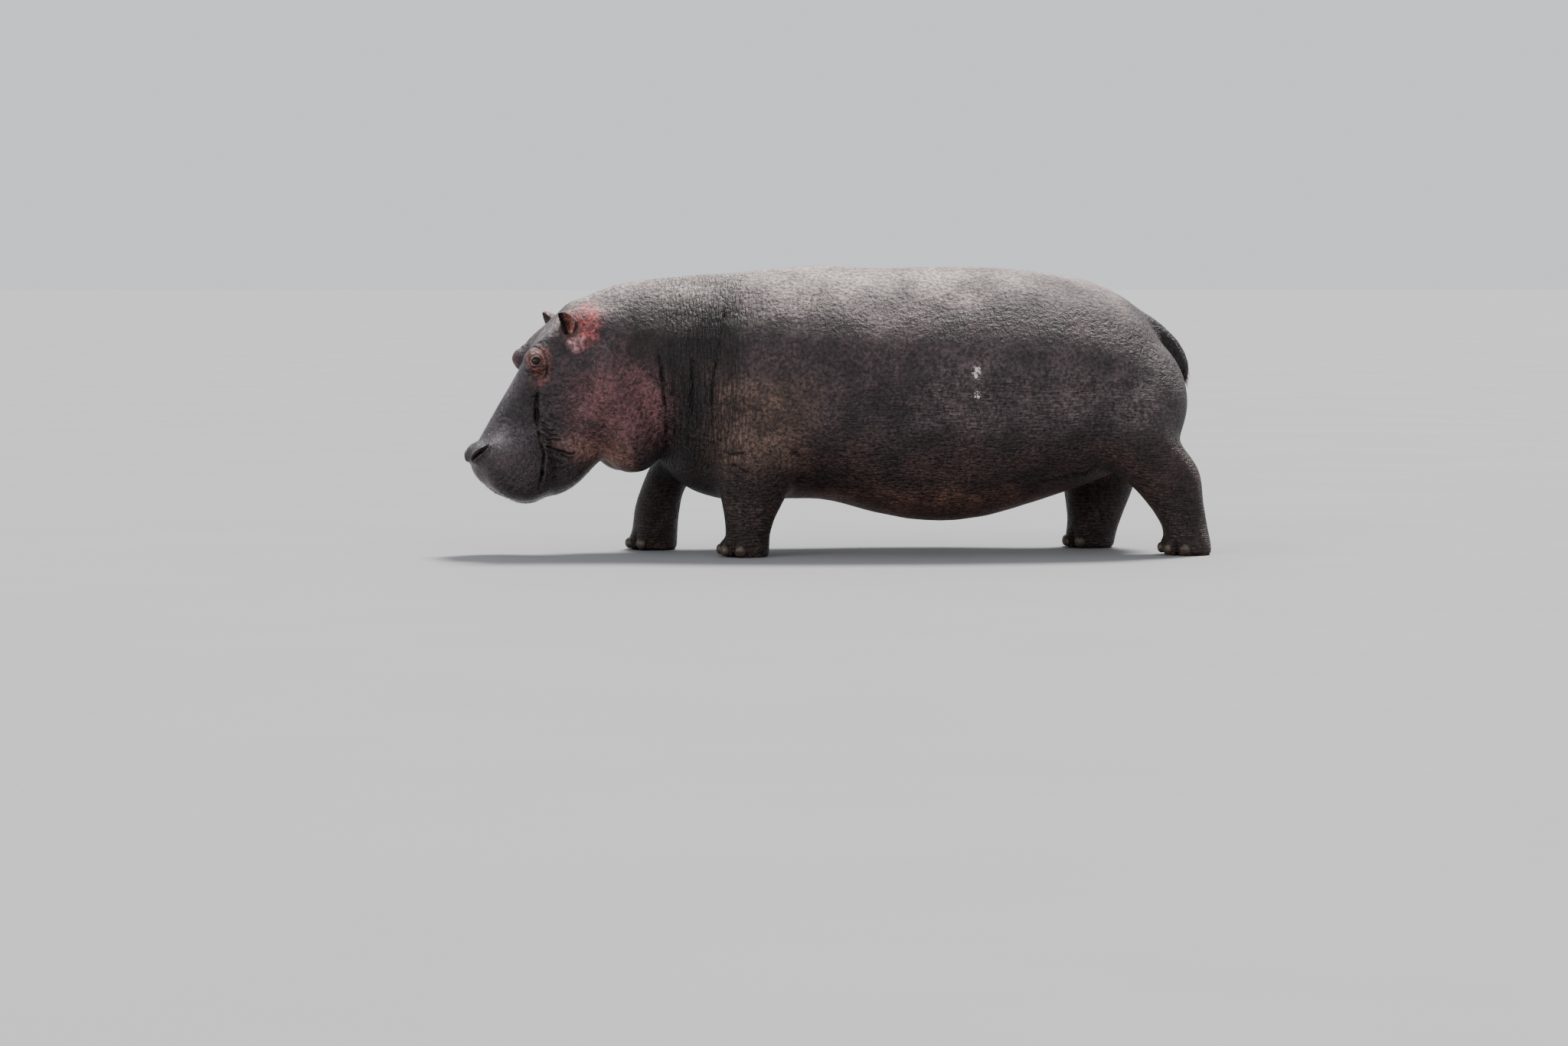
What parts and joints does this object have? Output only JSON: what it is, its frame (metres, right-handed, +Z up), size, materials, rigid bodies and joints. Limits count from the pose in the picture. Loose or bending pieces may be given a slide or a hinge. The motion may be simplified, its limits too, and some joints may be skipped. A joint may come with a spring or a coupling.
{
  "type": "hippopotamus figure",
  "caption": "Life-size still model of a walking hippopotamus with its head low, standing on four flat soles.",
  "frame": {"origin": "middle of the model's box, on the floor it stands on", "axes": "the animal faces -X, its left side is -Y, +Z up"},
  "size_m": [3.5204, 1.0896, 1.3646],
  "materials": {
    "body_hide": "dull grey-brown bare hide, paler and dusty along the back",
    "neck_hide": "dull grey bare hide with fine upright wrinkles",
    "dark_hide": "dull dark brown bare hide",
    "muzzle_hide": "moist dark grey hide with a soft sheen",
    "ear_skin": "thin pink-brown skin",
    "nail_horn": "worn dark horn",
    "eye": "wet dark brown"
  },
  "bodies": {
    "root": {"trunk": "body_hide", "neck": "neck_hide", "head": "body_hide", "lower_jaw": "muzzle_hide", "ear_left": "ear_skin", "ear_right": "ear_skin", "eye_left": "eye", "eye_right": "eye", "tail": "dark_hide", "leg_front_left": "dark_hide", "foot_front_left": "dark_hide", "nail_front_left_1": "nail_horn", "nail_front_left_2": "nail_horn", "nail_front_left_3": "nail_horn", "nail_front_left_4": "nail_horn", "leg_front_right": "dark_hide", "foot_front_right": "dark_hide", "nail_front_right_1": "nail_horn", "nail_front_right_2": "nail_horn", "nail_front_right_3": "nail_horn", "nail_front_right_4": "nail_horn", "leg_hind_left": "dark_hide", "foot_hind_left": "dark_hide", "nail_hind_left_1": "nail_horn", "nail_hind_left_2": "nail_horn", "nail_hind_left_3": "nail_horn", "nail_hind_left_4": "nail_horn", "leg_hind_right": "dark_hide", "foot_hind_right": "dark_hide", "nail_hind_right_1": "nail_horn", "nail_hind_right_2": "nail_horn", "nail_hind_right_3": "nail_horn", "nail_hind_right_4": "nail_horn"}
  },
  "joints": []
}
